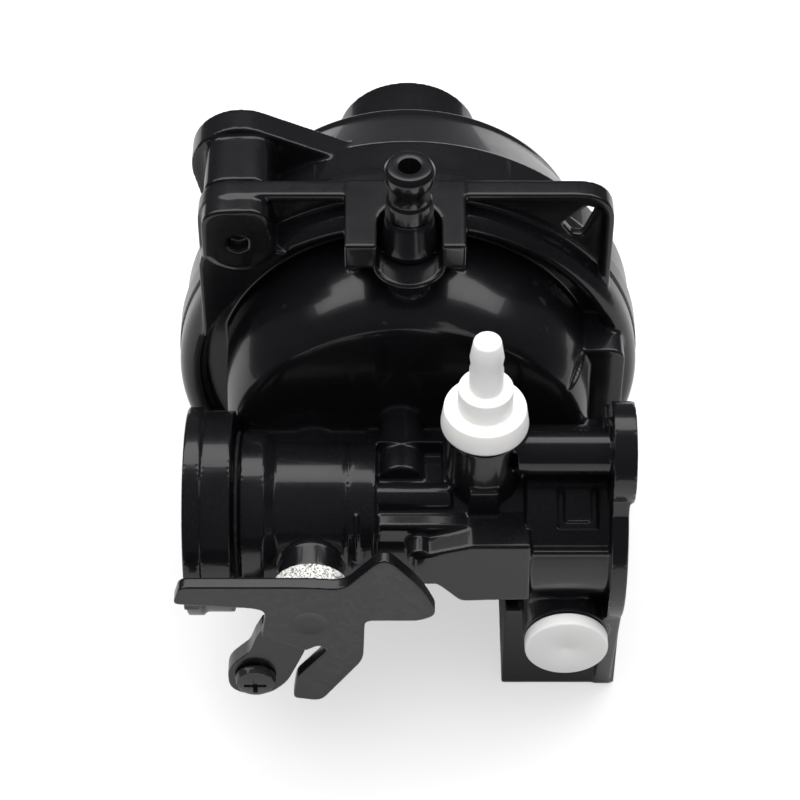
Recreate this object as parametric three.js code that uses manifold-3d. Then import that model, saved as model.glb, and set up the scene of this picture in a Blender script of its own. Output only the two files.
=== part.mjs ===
// A small-engine float carburettor, lying on its side with the bowl at the back.
// Millimetres. X runs along the throat, Y from the lever to the bowl, Z up.
// The design origin is where the bowl's axis crosses the front of the bowl seat; the last
// lines move the whole group so that the middle of its base becomes the origin.
import * as THREE from 'three';
import { mergeVertices } from 'three/addons/utils/BufferGeometryUtils.js';
import Module from 'manifold-3d';

const wasm = await Module();
wasm.setup();

// ---- driving dimensions ---------------------------------------------------------------

const GAP = 0.3; // clearance between pieces that touch
const WALL = 2; // moulded wall
const SIDES = { bowl: 40, large: 28, medium: 20, small: 14 }; // flats that stand for a round

const DECK = { left: -30, right: 29.3, top: 36.3, base: -34.5, front: -1.2, back: 0.5 };
const LIP = { width: 1.3, front: -2.7, end: 12 }; // rim along the deck's top and corners
const SEAT = { inner: 30.4, outer: 34.3, front: -4.8 }; // ridge over the bowl seal
const DRUM = { front: -17, cavity: 24, flatLeft: -26.6, flatRight: 26.4 };
const CORNERS = [[-24.15, 29.85], [24.4, -29.4]]; // the two bowl screws
const BOSS = { radius: 5.1, front: -5.9 };
const LUG = { inner: 22, outer: 31.8, front: -9, low: -8, top: 11 };
const SHELF = { left: -8.9, right: 8, front: -13.2, low: 32.2, top: 36.5 };
const INLET = { x: 0.1, y: -8.5, boss: 3.3, collar: 4.2, bore: 1.55, tip: 47.3 };

const BOWL = { rim: 34.5, face: 0.8, tier: 11.2, taper: 24.6, foot: 26.8, floor: 26.8 };
const SUMP = { radius: 11.3, end: 50 };
const EAR = { radius: 7.4, small: 5, front: 10, back: 14.5 };

const THROAT = { y: -29.4, z: -1, tube: 10, bore: 8, venturi: 5.2 };
const SPIGOT = { left: -31.6, ring: 15, step: 14.5, groove: 10.6, bead: 11.5, seal: -24.35 };
const FLANGE = { left: 28.2, right: 30.6, radius: 15.4 };
const STUD = { y: -33, z: 16.1, tube: 3.1, lobe: 7.1, bore: 2.1 };
const BLOCK = { left: 14.2, right: 31.2, front: -36, back: -12, top: -15.6, base: -34.5 };
const PORT = { x: 22.75, z: -13.4, radius: 6.2, front: -42.6, cap: 6 };
const PILOT = { x: 10.5, y: -31, radius: 5.4, top: 19 };

const SHAFT = { x: -13.74, z: -1.4, radius: 2.4, bore: 2.7, front: -48.5, back: -20.8 };
const LEVER = { front: -49.5, back: -47.6 };
const FELT = { radius: 5.5, front: -47.3, back: -43 };
const STOP = { x: 1.6, z: 3.7, radius: 1.85, front: -42.2 };
const IDLE = { x: -21.9, z: -14.9, head: 2.95, shank: 1.2 };

const COLUMN = { x: 2, z: -1, post: 4.6, end: 17 }; // emulsion tube and main jet
const NEEDLE = { x: 0.1, z: 19.5, boss: 4.4, bore: 2.9 };
const HINGE = { y: 3.1, z: 27.5, pin: 0.85, hole: 1.15, eye: 2.2 };
const FLOAT = { outer: 24, inner: 11, front: 3.6, back: 13 };

// ---- materials ------------------------------------------------------------------------

const finish = (color, roughness, metalness) =>
  new THREE.MeshStandardMaterial({ color, roughness, metalness });
const BLACK_NYLON = finish(0x141418, 0.35, 0);
const WHITE_NYLON = finish(0xf4f3ee, 0.45, 0);
const FOAM = finish(0x2b2925, 0.9, 0);
const RUBBER = finish(0x17171a, 0.75, 0);
const WOOL = finish(0xd9d6cd, 0.98, 0);
const STEEL = finish(0x9b9da0, 0.35, 0.9);
const BRASS = finish(0xb8923f, 0.32, 0.9);

// ---- solids ---------------------------------------------------------------------------

// A three.js geometry as a solid for joining and cutting.
function solid(geometry, matrix = new THREE.Matrix4()) {
  const source = geometry.clone().applyMatrix4(matrix);
  source.deleteAttribute('normal');
  source.deleteAttribute('uv');
  const merged = mergeVertices(source);
  const corners = merged.index.array;
  const triangles = [];
  for (let i = 0; i < corners.length; i += 3) {
    const [a, b, c] = [corners[i], corners[i + 1], corners[i + 2]];
    if (a !== b && b !== c && c !== a) triangles.push(a, b, c);
  }
  return new wasm.Manifold(new wasm.Mesh({
    numProp: 3,
    vertProperties: new Float32Array(merged.attributes.position.array),
    triVerts: new Uint32Array(triangles),
  }));
}

const join = (...solids) => solids.reduce((whole, piece) => whole.add(piece));
const cut = (body, ...tools) => tools.reduce((rest, tool) => rest.subtract(tool), body);

// Lathes turn about Y; these lay that axis along X, Y or Z.
const LATHE_TURN = {
  x: new THREE.Matrix4().makeRotationZ(-Math.PI / 2),
  y: new THREE.Matrix4(),
  z: new THREE.Matrix4().makeRotationX(Math.PI / 2),
};
// Outlines are drawn across an axis: in YZ for X, in XZ for Y and in XY for Z.
const OUTLINE_TURN = {
  x: new THREE.Matrix4().set(0, 0, 1, 0, 1, 0, 0, 0, 0, 1, 0, 0, 0, 0, 0, 1),
  y: new THREE.Matrix4().makeRotationX(Math.PI / 2),
  z: new THREE.Matrix4(),
};

// A point from its place along an axis and its two other coordinates, in X, Y, Z order.
function onAxis(axis, along, [u, v]) {
  if (axis === 'x') return new THREE.Vector3(along, u, v);
  if (axis === 'y') return new THREE.Vector3(u, along, v);
  return new THREE.Vector3(u, v, along);
}

function signedArea(points) {
  return points.reduce((sum, [x, y], i) => {
    const [nextX, nextY] = points[(i + 1) % points.length];
    return sum + (x * nextY - nextX * y) / 2;
  }, 0);
}

// A turned solid. The profile's points are [radius, place along the axis]; a ring's profile
// is closed, and any other starts and ends on the axis.
function turned(axis, centre, profile, segments = SIDES.medium) {
  const onCentre = profile.some(([radius]) => radius === 0);
  const path = signedArea(profile) > 0 ? profile : [...profile].reverse();
  const points = path.map(([radius, along]) => new THREE.Vector2(radius, along));
  if (!onCentre) points.push(points[0].clone());
  const place = new THREE.Matrix4().setPosition(onAxis(axis, 0, centre));
  return solid(new THREE.LatheGeometry(points, segments), place.multiply(LATHE_TURN[axis]));
}

function rod(axis, centre, radius, from, to, segments = SIDES.medium) {
  return turned(axis, centre, [[0, from], [radius, from], [radius, to], [0, to]], segments);
}

// A rod with the edges of both ends chamfered.
function softRod(axis, centre, radius, from, to, edge, segments = SIDES.medium) {
  const profile = [
    [0, from], [radius - edge, from], [radius, from + edge],
    [radius, to - edge], [radius - edge, to], [0, to],
  ];
  return turned(axis, centre, profile, segments);
}

function ring(axis, centre, inner, outer, from, to, segments = SIDES.large) {
  return turned(axis, centre, [[inner, from], [outer, from], [outer, to], [inner, to]], segments);
}

function box(x0, x1, y0, y1, z0, z1) {
  const middle = new THREE.Vector3((x0 + x1) / 2, (y0 + y1) / 2, (z0 + z1) / 2);
  return solid(new THREE.BoxGeometry(x1 - x0, y1 - y0, z1 - z0),
    new THREE.Matrix4().setPosition(middle));
}

// A flat outline made thick along an axis. edge rounds both rims by that much.
function slab(axis, shape, from, to, edge = 0, curveSegments = 3) {
  const geometry = new THREE.ExtrudeGeometry(shape, {
    depth: to - from - 2 * edge,
    curveSegments,
    bevelEnabled: edge > 0,
    bevelThickness: edge,
    bevelSize: edge,
    bevelOffset: -edge,
    bevelSegments: 1,
  });
  // Across Y the outline's depth runs towards -Y, so it starts from the far face.
  const start = axis === 'y' ? to - edge : from + edge;
  const place = new THREE.Matrix4().setPosition(onAxis(axis, start, [0, 0]));
  return solid(geometry, place.multiply(OUTLINE_TURN[axis]));
}

// A closed outline through corners [x, y, rounding radius].
function outline(corners) {
  const shape = new THREE.Shape();
  corners.forEach(([x, y, radius = 0], i) => {
    const corner = new THREE.Vector2(x, y);
    const before = corners[(i + corners.length - 1) % corners.length];
    const after = corners[(i + 1) % corners.length];
    const towards = ([toX, toY]) => {
      const step = new THREE.Vector2(toX, toY).sub(corner);
      return corner.clone().add(step.setLength(Math.min(radius, step.length() * 0.49)));
    };
    const start = radius ? towards(before) : corner;
    if (i === 0) shape.moveTo(start.x, start.y);
    else shape.lineTo(start.x, start.y);
    if (radius) {
      const end = towards(after);
      shape.quadraticCurveTo(x, y, end.x, end.y);
    }
  });
  shape.closePath();
  return shape;
}

// The outline of a belt round two circles, [x, y, radius] each.
function belt([x0, y0, r0], [x1, y1, r1]) {
  const along = Math.atan2(y1 - y0, x1 - x0);
  const lean = Math.acos((r0 - r1) / Math.hypot(x1 - x0, y1 - y0));
  const shape = new THREE.Shape();
  shape.absarc(x0, y0, r0, along + lean, along - lean + 2 * Math.PI, false);
  shape.absarc(x1, y1, r1, along - lean, along + lean, false);
  shape.closePath();
  return shape;
}

function part(name, material, body) {
  const { vertProperties, triVerts, numProp } = body.getMesh();
  const positions = new Float32Array((vertProperties.length / numProp) * 3);
  for (let i = 0; i < positions.length; i += 1) {
    positions[i] = vertProperties[Math.floor(i / 3) * numProp + (i % 3)];
  }
  const geometry = new THREE.BufferGeometry();
  geometry.setAttribute('position', new THREE.BufferAttribute(positions, 3));
  geometry.setIndex(new THREE.BufferAttribute(new Uint32Array(triVerts), 1));
  geometry.computeVertexNormals();
  const mesh = new THREE.Mesh(geometry, material);
  mesh.name = name;
  return mesh;
}

// ---- body casting ---------------------------------------------------------------------

const BOWL_AXIS = [0, 0];
const THROAT_AXIS = [THROAT.y, THROAT.z];
const SHAFT_AXIS = [SHAFT.x, SHAFT.z];
const STUD_AXIS = [STUD.y, STUD.z];
const LOWER_STUD = { y: -26, z: -23 };

// The square plate behind the throat, with the round ridge that covers the bowl seal.
function deck() {
  const plate = slab('y', outline([
    [DECK.left, DECK.base, 1], [DECK.right, DECK.base, 1],
    [DECK.right, DECK.top, 5.5], [DECK.left, DECK.top, 5.5],
  ]), DECK.front, DECK.back, 0.4);
  const round = rod('y', BOWL_AXIS, SEAT.outer, DECK.front, DECK.back, SIDES.bowl);
  const middle = (SEAT.inner + SEAT.outer) / 2;
  const ridge = turned('y', BOWL_AXIS, [
    [SEAT.inner, -1], [SEAT.inner, SEAT.front + 1.5], [SEAT.inner + 0.6, SEAT.front + 0.4],
    [middle, SEAT.front], [SEAT.outer - 0.6, SEAT.front + 0.4],
    [SEAT.outer, SEAT.front + 1.5], [SEAT.outer, -1],
  ], SIDES.bowl);
  const frame = (inset, front, back) => slab('y', outline([
    [DECK.left + inset, LIP.end - inset], [DECK.right - inset, LIP.end - inset],
    [DECK.right - inset, DECK.top - inset, 5.5 - inset],
    [DECK.left + inset, DECK.top - inset, 5.5 - inset],
  ]), front, back);
  const lip = cut(frame(0, LIP.front, -0.6), frame(LIP.width, LIP.front - 1, 0));
  return join(plate, round, ridge, lip);
}

// The square corner that stands out round the upper bowl screw.
const squareCorner = (from, to) => slab('y', outline([
  [-29.3, 27], [-29.2, 35.9, 3.2], [-19.9, DECK.top, 3], [-19, 28],
]), from, to);

// A corner boss for a bowl screw, with the web that joins it to the ridge.
function cornerBoss(centre, side) {
  const web = slab('y', outline([
    [-30 * side, 10 * side], [-30 * side, 27 * side],
    [-26 * side, 30 * side], [-19.5 * side, 28 * side], [-17 * side, 27.6 * side],
    [-22 * side, 22 * side], [-27.5 * side, 14.5 * side],
  ]), BOSS.front + 0.4, -1);
  return join(softRod('y', centre, BOSS.radius, BOSS.front, DECK.back, 0.5), web);
}

// The float chamber's upper half: a domed drum with a flat on each side and a slanted facet.
function drum() {
  const shell = turned('y', BOWL_AXIS, [
    [0, DRUM.front], [22.8, DRUM.front], [24.2, -16.8], [25.4, -15.8], [26.4, -14],
    [27.2, -11.5], [27.75, -8.5], [28, -5.5], [28, -1], [0, -1],
  ], SIDES.large);
  const beyond = 40;
  const facet = slab('z', outline([
    [22.3, -18], [26.5, -5.6], [beyond, -5.6], [beyond, -18],
  ]), 10, beyond);
  return cut(shell, facet,
    box(-beyond, DRUM.flatLeft, -beyond, beyond, -beyond, beyond),
    box(DRUM.flatRight, beyond, -beyond, beyond, -beyond, beyond));
}

function sideLug() {
  return slab('y', outline([
    [LUG.inner, LUG.low], [LUG.outer, LUG.low, 1], [LUG.outer, LUG.top, 2.5],
    [LUG.inner, LUG.top],
  ]), LUG.front, -1, 0.5);
}

// The forked bracket that grips the fuel inlet, the inlet's boss and the cone under it.
function inletShelf() {
  const middle = INLET.x;
  const notch = INLET.collar + GAP;
  const fork = new THREE.Shape();
  fork.moveTo(SHELF.left, DECK.back);
  fork.lineTo(SHELF.left, SHELF.front);
  fork.lineTo(middle - notch, SHELF.front);
  fork.lineTo(middle - notch, INLET.y);
  fork.absarc(middle, INLET.y, notch, Math.PI, 0, true);
  fork.lineTo(middle + notch, SHELF.front);
  fork.lineTo(SHELF.right, SHELF.front);
  fork.lineTo(SHELF.right, DECK.back);
  fork.closePath();
  const cone = turned('z', [middle, -11.4], [
    [0, 24.5], [0.8, 24.5], [5.2, 31.5], [5.2, SHELF.low], [0, SHELF.low],
  ]);
  const legs = [SHELF.left, SHELF.right - WALL].map((left) =>
    box(left, left + WALL, -8, -1, 27, SHELF.low + 1));
  return join(
    slab('z', fork, SHELF.low, SHELF.top, 0.4),
    rod('z', [middle, INLET.y], INLET.boss, 20, SHELF.low),
    cone, ...legs);
}

// The throat's outside: the spigot's rings on the left, the tube and the wide right end,
// with a pocket in the top of the middle.
function throat() {
  const { tube } = THROAT;
  const { left, ring: rim, step, groove, bead, seal } = SPIGOT;
  const outside = turned('x', THROAT_AXIS, [
    [0, left], [rim, left], [rim, -29.2], [step, -29.2], [step, seal - 0.6],
    [groove, seal - 0.6], [groove, seal + 0.6], [bead, seal + 0.6], [bead, -20.5],
    [tube, -18.8], [tube, -4.6], [tube + 0.5, -4.6], [tube + 0.5, 16.4], [12.5, 16.4],
    [12.5, 29], [0, 29],
  ], SIDES.large);
  return cut(outside, box(-4.6, 4.9, -33.2, -24, 5.3, 12));
}

// The air-cleaner flange: a round face with a stud lobe above and a foot below.
function flange() {
  const face = join(
    rod('x', THROAT_AXIS, FLANGE.radius, FLANGE.left, FLANGE.right, SIDES.large),
    slab('x', outline([
      [-42.5, -8], [-36, BLOCK.base, 1], [-13, BLOCK.base, 1], [-15, 2], [-44.4, 2],
    ]), FLANGE.left, FLANGE.right),
    slab('x', belt([STUD.y, STUD.z, 6], [THROAT.y, THROAT.z, 12]), FLANGE.left, FLANGE.right));
  return join(face,
    softRod('x', STUD_AXIS, STUD.lobe, FLANGE.left - 0.2, BLOCK.right, 0.4, SIDES.large),
    rod('x', STUD_AXIS, STUD.tube, 15, FLANGE.left + 1));
}

// The square block under the right end, with the round port that the plug closes.
function portBlock() {
  const block = slab('x', outline([
    [BLOCK.front, BLOCK.base, 1.2], [BLOCK.back, BLOCK.base, 1],
    [BLOCK.back, BLOCK.top, 1], [BLOCK.front, BLOCK.top, 1.2],
  ]), BLOCK.left, BLOCK.right, 0.5);
  return join(block,
    softRod('y', [PORT.x, PORT.z], PORT.radius, PORT.front, -30, 0.4, SIDES.large),
    box(16.4, FLANGE.left + 0.5, -35.2, -28, -20, 0),
    box(16.4, FLANGE.left + 0.5, -42, -30, 3.9, 4.9),
    box(16.4, FLANGE.left + 0.5, -17.5, -14, -24, 2));
}

// What stands on the throat: ledges, the link face, columns, bosses and stops.
function throatFittings() {
  const linkFace = slab('y', outline([
    [8.9, 7], [17, 7], [17.2, -5], [7.4, -5.3, 0.8], [4.6, -2], [0.6, 1.2], [1, 4.6],
  ]), PORT.front, -36, 0.3);
  const bead = rod('x', [-38, 6], 1, -4.3, 16.2, SIDES.small);
  const beadFoot = box(-4.3, 16.2, -38.8, -34, 1, 7);
  const passage = rod('x', [-34, 7.4], 2.1, -4.6, 6, SIDES.small);
  const vent = softRod('y', [-1.06, 4.5], 3.3, -28.8, -16, 0.4);
  const pilotBoss = turned('z', [PILOT.x, PILOT.y], [
    [0, 0], [4.2, 0], [4.4, 4], [5, 8], [PILOT.radius, 12], [PILOT.radius, PILOT.top - 0.3],
    [PILOT.radius - 0.3, PILOT.top], [0, PILOT.top],
  ], SIDES.large);
  const pilotRib = box(PILOT.x - 2, PILOT.x + 2, -37, PILOT.y, 2, 12);
  const stop = softRod('y', [STOP.x, STOP.z], STOP.radius, STOP.front, -34, 0.3, SIDES.small);
  const shaftBoss = softRod('y', SHAFT_AXIS, 4.65, FELT.back + GAP, -30, 0.3);
  const rearBearing = rod('y', SHAFT_AXIS, 4.6, -24, -16);
  const collarRib = ring('x', THROAT_AXIS, 8.5, THROAT.tube + 0.5, -7.6, -7.1)
    .intersect(box(-9, -6, -42, -35, 0, 6.6));
  const sideWeb = box(-24, -3, -24, -16, 0.9, 2.4);
  const pedestal = box(-6, 9, -22, -16, -9, 3);
  const mouldLedge = ring('x', THROAT_AXIS, 12, 13.1, 20.9, 26.3)
    .intersect(join(box(20.9, 21.6, -45, -30, 7.2, 10.4), box(25.6, 26.3, -45, -30, 7.2, 10.4),
      box(20.9, 26.3, -45, -30, 7.2, 7.8)));
  return join(linkFace, bead, beadFoot, passage, vent, pilotBoss, pilotRib, stop, shaftBoss,
    rearBearing, collarRib, sideWeb, pedestal, mouldLedge);
}

// Inside the float chamber: the jet post, the needle's boss and the float's hinge posts.
function chamberFittings() {
  const { x, z } = NEEDLE;
  const post = rod('y', [COLUMN.x, COLUMN.z], COLUMN.post, -16, COLUMN.end);
  const needleBoss = rod('y', [x, z], NEEDLE.boss, -16, -0.2);
  const hingePost = slab('x', outline([
    [DECK.back - 1, 24.6], [HINGE.y + 2.2, 25.2, 0.8],
    [HINGE.y + 2.2, 29.4, 1], [DECK.back - 1, 29.4],
  ]), 5.4, 7.6);
  const pair = join(hingePost, hingePost.translate([-13, 0, 0]));
  return join(post, needleBoss, pair);
}

function body() {
  const outside = join(deck(), cornerBoss(CORNERS[0], 1), cornerBoss(CORNERS[1], -1),
    squareCorner(BOSS.front, DECK.back), drum(), sideLug(), inletShelf(),
    throat(), flange(), portBlock(), throatFittings());

  const chamber = rod('y', BOWL_AXIS, DRUM.cavity, DRUM.front + WALL, 2, SIDES.large);
  const hollowed = join(cut(outside, chamber), chamberFittings());

  const bore = turned('x', THROAT_AXIS, [
    [0, -34], [9.2, -34], [8.6, -32], [THROAT.bore, -30.5], [THROAT.bore, -9.5],
    [THROAT.venturi + 0.2, -4.6], [THROAT.venturi, -0.5], [THROAT.venturi, 3.5],
    [8.6, 14], [9.6, 24], [10.4, 33], [0, 33],
  ]);
  const sealGroove = ring('y', BOWL_AXIS, 31.1, 32.5, -1.7, 3, SIDES.bowl);
  const shaftHole = rod('y', SHAFT_AXIS, SHAFT.bore, -45, SHAFT.back + GAP);
  const studHoles = [[STUD_AXIS, 14], [[LOWER_STUD.y, LOWER_STUD.z], 12]].map(
    ([centre, from]) => rod('x', centre, STUD.bore, from, 34, SIDES.small));
  const screwHoles = CORNERS.map((centre) =>
    rod('y', centre, 2.15, BOSS.front + 2.2, 17, SIDES.small));
  const hexEnd = rod('y', CORNERS[0], 1.35, BOSS.front - 1, BOSS.front + 1.4, 6);
  const window = slab('y', outline([
    [22, 29.3], [25.4, 32.6], [26.9, 32.1], [25, 26.8], [23.5, 27.1],
  ]), -6, 3);

  const collarRoom = rod('z', [INLET.x, INLET.y], INLET.collar + GAP, SHELF.low, SHELF.top + 1,
    SIDES.large);
  const inletBore = rod('z', [INLET.x, INLET.y], 2.1, 24.5, SHELF.low + 2, SIDES.small);
  const inletDrilling = rod('z', [INLET.x, INLET.y], 1.1, NEEDLE.z, 26, SIDES.small);
  const needleBore = rod('y', [NEEDLE.x, NEEDLE.z], NEEDLE.bore, -11, 1);
  const jetBore = join(
    rod('y', [COLUMN.x, COLUMN.z], 2.2, -26, COLUMN.end + 1, SIDES.small),
    rod('y', [COLUMN.x, COLUMN.z], 3, 12.8, COLUMN.end + 1, SIDES.small));
  const pilotBore = rod('z', [PILOT.x, PILOT.y], 2.9, 10, PILOT.top + 1, SIDES.small);
  const pilotDrilling = rod('z', [PILOT.x, PILOT.y], 0.8, 3, 11, SIDES.small);
  const portBore = rod('y', [PORT.x, PORT.z], 4.4, PORT.front - 1, PORT.front + 8, SIDES.large);
  const hingeHoles = rod('x', [HINGE.y, HINGE.z], HINGE.hole, -10, 10);

  return cut(hollowed, bore, sealGroove, shaftHole, ...studHoles, ...screwHoles, hexEnd,
    window, collarRoom, inletBore, inletDrilling, needleBore, jetBore, pilotBore,
    pilotDrilling, portBore, hingeHoles);
}

// ---- bowl -----------------------------------------------------------------------------

function bowl() {
  const { rim, face, tier, taper, foot, floor } = BOWL;
  const inside = rim - WALL - 1.2;
  const shell = turned('y', BOWL_AXIS, [
    [0, SUMP.end], [SUMP.radius - 0.7, SUMP.end], [SUMP.radius, SUMP.end - 0.7],
    [SUMP.radius, floor + 0.5], [foot - 1.8, floor], [foot - 0.5, floor - 0.7], [foot, taper],
    [rim - 1.3, tier + 0.6], [rim - 0.7, tier], [rim - 0.5, 5], [rim, 4.6],
    [rim, face], [inside, face], [inside, tier - 0.6], [foot - WALL, taper - 1.2],
    [foot - WALL - 1.4, floor - WALL], [SUMP.radius - 1.2, floor - WALL],
    [SUMP.radius - WALL, floor - WALL + 1], [SUMP.radius - WALL, SUMP.end - WALL],
    [0, SUMP.end - WALL],
  ], SIDES.bowl);
  const cavity = turned('y', BOWL_AXIS, [
    [0, face - 1], [inside, face - 1], [inside, tier - 0.6], [foot - WALL, taper - 1.2],
    [foot - WALL - 1.4, floor - WALL], [0, floor - WALL],
  ], SIDES.bowl);
  const ears = CORNERS.map(([x, z], i) =>
    slab('y', belt([x, z, i ? EAR.small : EAR.radius], [0, 0, 24.5]), EAR.front, EAR.back, 0.4));
  const spacers = CORNERS.map((centre) =>
    softRod('y', centre, EAR.small, face, EAR.front + 1, 0.3));
  spacers.push(squareCorner(face, EAR.front + 1));
  const holes = CORNERS.map((centre) => rod('y', centre, 2.15, face - 1, EAR.back + 1));
  return cut(join(shell, ...ears, ...spacers), cavity, ...holes);
}

// ---- small pieces ---------------------------------------------------------------------

const bowlSeal = () => ring('y', BOWL_AXIS, 31.4, 32.2, -1.4, DECK.back, SIDES.bowl);

const spigotSeal = () => turned('x', THROAT_AXIS,
  Array.from({ length: 8 }, (_, i) => {
    const angle = (i * Math.PI) / 4;
    return [11.2 + 0.3 * Math.cos(angle), SPIGOT.seal + 0.3 * Math.sin(angle)];
  }), SIDES.large);

// A cross recess, cut into a head whose face looks along -Y or +Y.
function crossRecess(axis, centre, from, to, reach, width) {
  const [u, v] = centre;
  if (axis === 'x') {
    return join(box(from, to, u - reach, u + reach, v - width, v + width),
      box(from, to, u - width, u + width, v - reach, v + reach));
  }
  return join(box(u - reach, u + reach, from, to, v - width, v + width),
    box(u - width, u + width, from, to, v - reach, v + reach));
}

function bowlScrew(centre) {
  const tip = DECK.front - 0.4;
  const seat = EAR.back + GAP;
  const screw = join(
    rod('y', centre, 1.8, tip, seat + 0.5),
    turned('y', centre, [
      [0, seat], [3.8, seat], [3.8, seat + 1.2], [3, seat + 2.1], [0, seat + 2.4],
    ]));
  return cut(screw, crossRecess('y', centre, seat + 1.1, seat + 4, 1.7, 0.35));
}

function fuelInlet() {
  const { tip, bore, collar } = INLET;
  return turned('z', [INLET.x, INLET.y], [
    [bore, 25], [1.8, 25], [1.8, SHELF.low + GAP], [collar, SHELF.low + GAP],
    [collar, 33.6], [3.75, 34.4], [3.5, 37.4], [3.05, 38.2], [3.4, 38.9],
    [3.2, 41.2], [2.9, 41.6], [2.9, 43.6], [3.55, 44.8], [3.55, 46.5], [2.9, tip],
    [bore, tip],
  ], SIDES.large);
}

const needleSeat = () => turned('y', [NEEDLE.x, NEEDLE.z], [
  [1, -6.8], [2.6, -6.8], [2.6, -3.9], [2, -3.9], [1, -5.1],
]);

function inletNeedle() {
  const stem = turned('y', [NEEDLE.x, NEEDLE.z], [
    [0, -5], [0.35, -4.9], [1.5, -3.7], [2.5, -3.2], [2.5, 0.6], [1.4, 1.2], [0, 1.2],
  ]);
  const flats = [0, 120, 240].map((angle) => {
    const slice = solid(new THREE.BoxGeometry(6, 3.2, 2),
      new THREE.Matrix4().setPosition(0, -1.6, 2.7));
    return slice.rotate([0, angle, 0]).translate([NEEDLE.x, 0, NEEDLE.z]);
  });
  return cut(stem, ...flats);
}

function float() {
  const ringBody = turned('y', BOWL_AXIS, [
    [FLOAT.inner, FLOAT.front], [FLOAT.outer - 0.8, FLOAT.front],
    [FLOAT.outer, FLOAT.front + 0.8], [FLOAT.outer, FLOAT.back - 0.8],
    [FLOAT.outer - 0.8, FLOAT.back], [FLOAT.inner, FLOAT.back],
  ], SIDES.large);
  const arm = join(
    box(3.2, 5, 1.6, 5, 18, HINGE.z),
    rod('x', [HINGE.y, HINGE.z], HINGE.eye, 3.2, 5));
  const tang = box(-3.4, 3.4, 1.6, 4, 17.6, 21.6);
  const whole = join(ringBody, arm, arm.translate([-8.2, 0, 0]), tang);
  return cut(whole, rod('x', [HINGE.y, HINGE.z], HINGE.hole, -8, 8));
}

const hingePin = () => rod('x', [HINGE.y, HINGE.z], HINGE.pin, -7.9, 7.9);

function emulsionTube() {
  const centre = [COLUMN.x, COLUMN.z];
  const tube = ring('y', centre, 0.9, 1.9, -25.2, 12.4, SIDES.small);
  const ports = [-9, 3].map((along) =>
    rod('z', [COLUMN.x, along], 0.35, COLUMN.z - 3, COLUMN.z + 3, 8));
  return cut(tube, ...ports);
}

function mainJet() {
  const centre = [COLUMN.x, COLUMN.z];
  const jet = turned('y', centre, [
    [0.5, 13.1], [2.7, 13.1], [2.7, 16.4], [1.2, 16.4], [0.5, 15.6],
  ]);
  return cut(jet, box(centre[0] - 4, centre[0] + 4, 15.4, 17, centre[1] - 0.4, centre[1] + 0.4));
}

function pilotInsert() {
  const base = PILOT.top + GAP + 0.6;
  return turned('z', [PILOT.x, PILOT.y], [
    [0, 11.2], [1.1, 11.2], [2.5, 12.6], [2.5, 15.6], [1.8, 15.6], [1.8, 17], [2.5, 17],
    [2.5, base], [6.1, base + 0.3], [5.7, 23.4], [3.85, 23.6], [3.8, 27.3], [2.35, 27.5],
    [2.15, 31.8], [2.35, 33.4], [1.9, 36.4], [0.9, 37.1], [0, 37.1],
  ], SIDES.large);
}

const pilotSeal = () => turned('z', [PILOT.x, PILOT.y],
  [[2.1, 15.9], [2.6, 15.9], [2.6, 16.7], [2.1, 16.7]]);

function portPlug() {
  const back = PORT.front - GAP;
  const front = back - 2;
  return turned('y', [PORT.x, PORT.z], [
    [0, front + 0.25], [0.5, front + 0.1], [0.8, front], [PORT.cap - 0.35, front],
    [PORT.cap, front + 0.35], [PORT.cap, back], [4.1, back], [4.1, back + 4.6],
    [3.6, back + 5.2], [2.9, back + 5.2], [2.9, back + 0.2], [0, back + 0.2],
  ], SIDES.large);
}

// ---- throttle -------------------------------------------------------------------------

const PLATE = { left: SHAFT.x + 0.4, right: SHAFT.x + 1.2, radius: 7.55 };

function throttleShaft() {
  const shaft = softRod('y', SHAFT_AXIS, SHAFT.radius, SHAFT.front, SHAFT.back, 0.2);
  const seat = box(SHAFT.x + 0.1, SHAFT.x + 4, -37.6, -21.2, -6, 4);
  const drives = [-1, 1].map((side) => box(SHAFT.x - 4, SHAFT.x + 4, SHAFT.front - 1,
    LEVER.back + 0.3, SHAFT.z + (side > 0 ? 1.7 : -4), SHAFT.z + (side > 0 ? 4 : -1.7)));
  const screwHole = rod('x', THROAT_AXIS, 1.4, SHAFT.x - 4, SHAFT.x + 4, SIDES.small);
  return cut(shaft, seat, ...drives, screwHole);
}

const throttlePlate = () =>
  ring('x', THROAT_AXIS, 1.4, PLATE.radius, PLATE.left, PLATE.right);

function plateScrew() {
  const seat = PLATE.right + GAP;
  const screw = join(
    rod('x', THROAT_AXIS, 1.05, SHAFT.x - 2.6, seat + 0.4, SIDES.small),
    softRod('x', THROAT_AXIS, 2.1, seat, seat + 1.3, 0.25));
  return cut(screw, crossRecess('x', THROAT_AXIS, seat + 0.7, seat + 3, 1.1, 0.25));
}

const feltSeal = () =>
  ring('y', SHAFT_AXIS, SHAFT.bore, FELT.radius, FELT.front, FELT.back);

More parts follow.
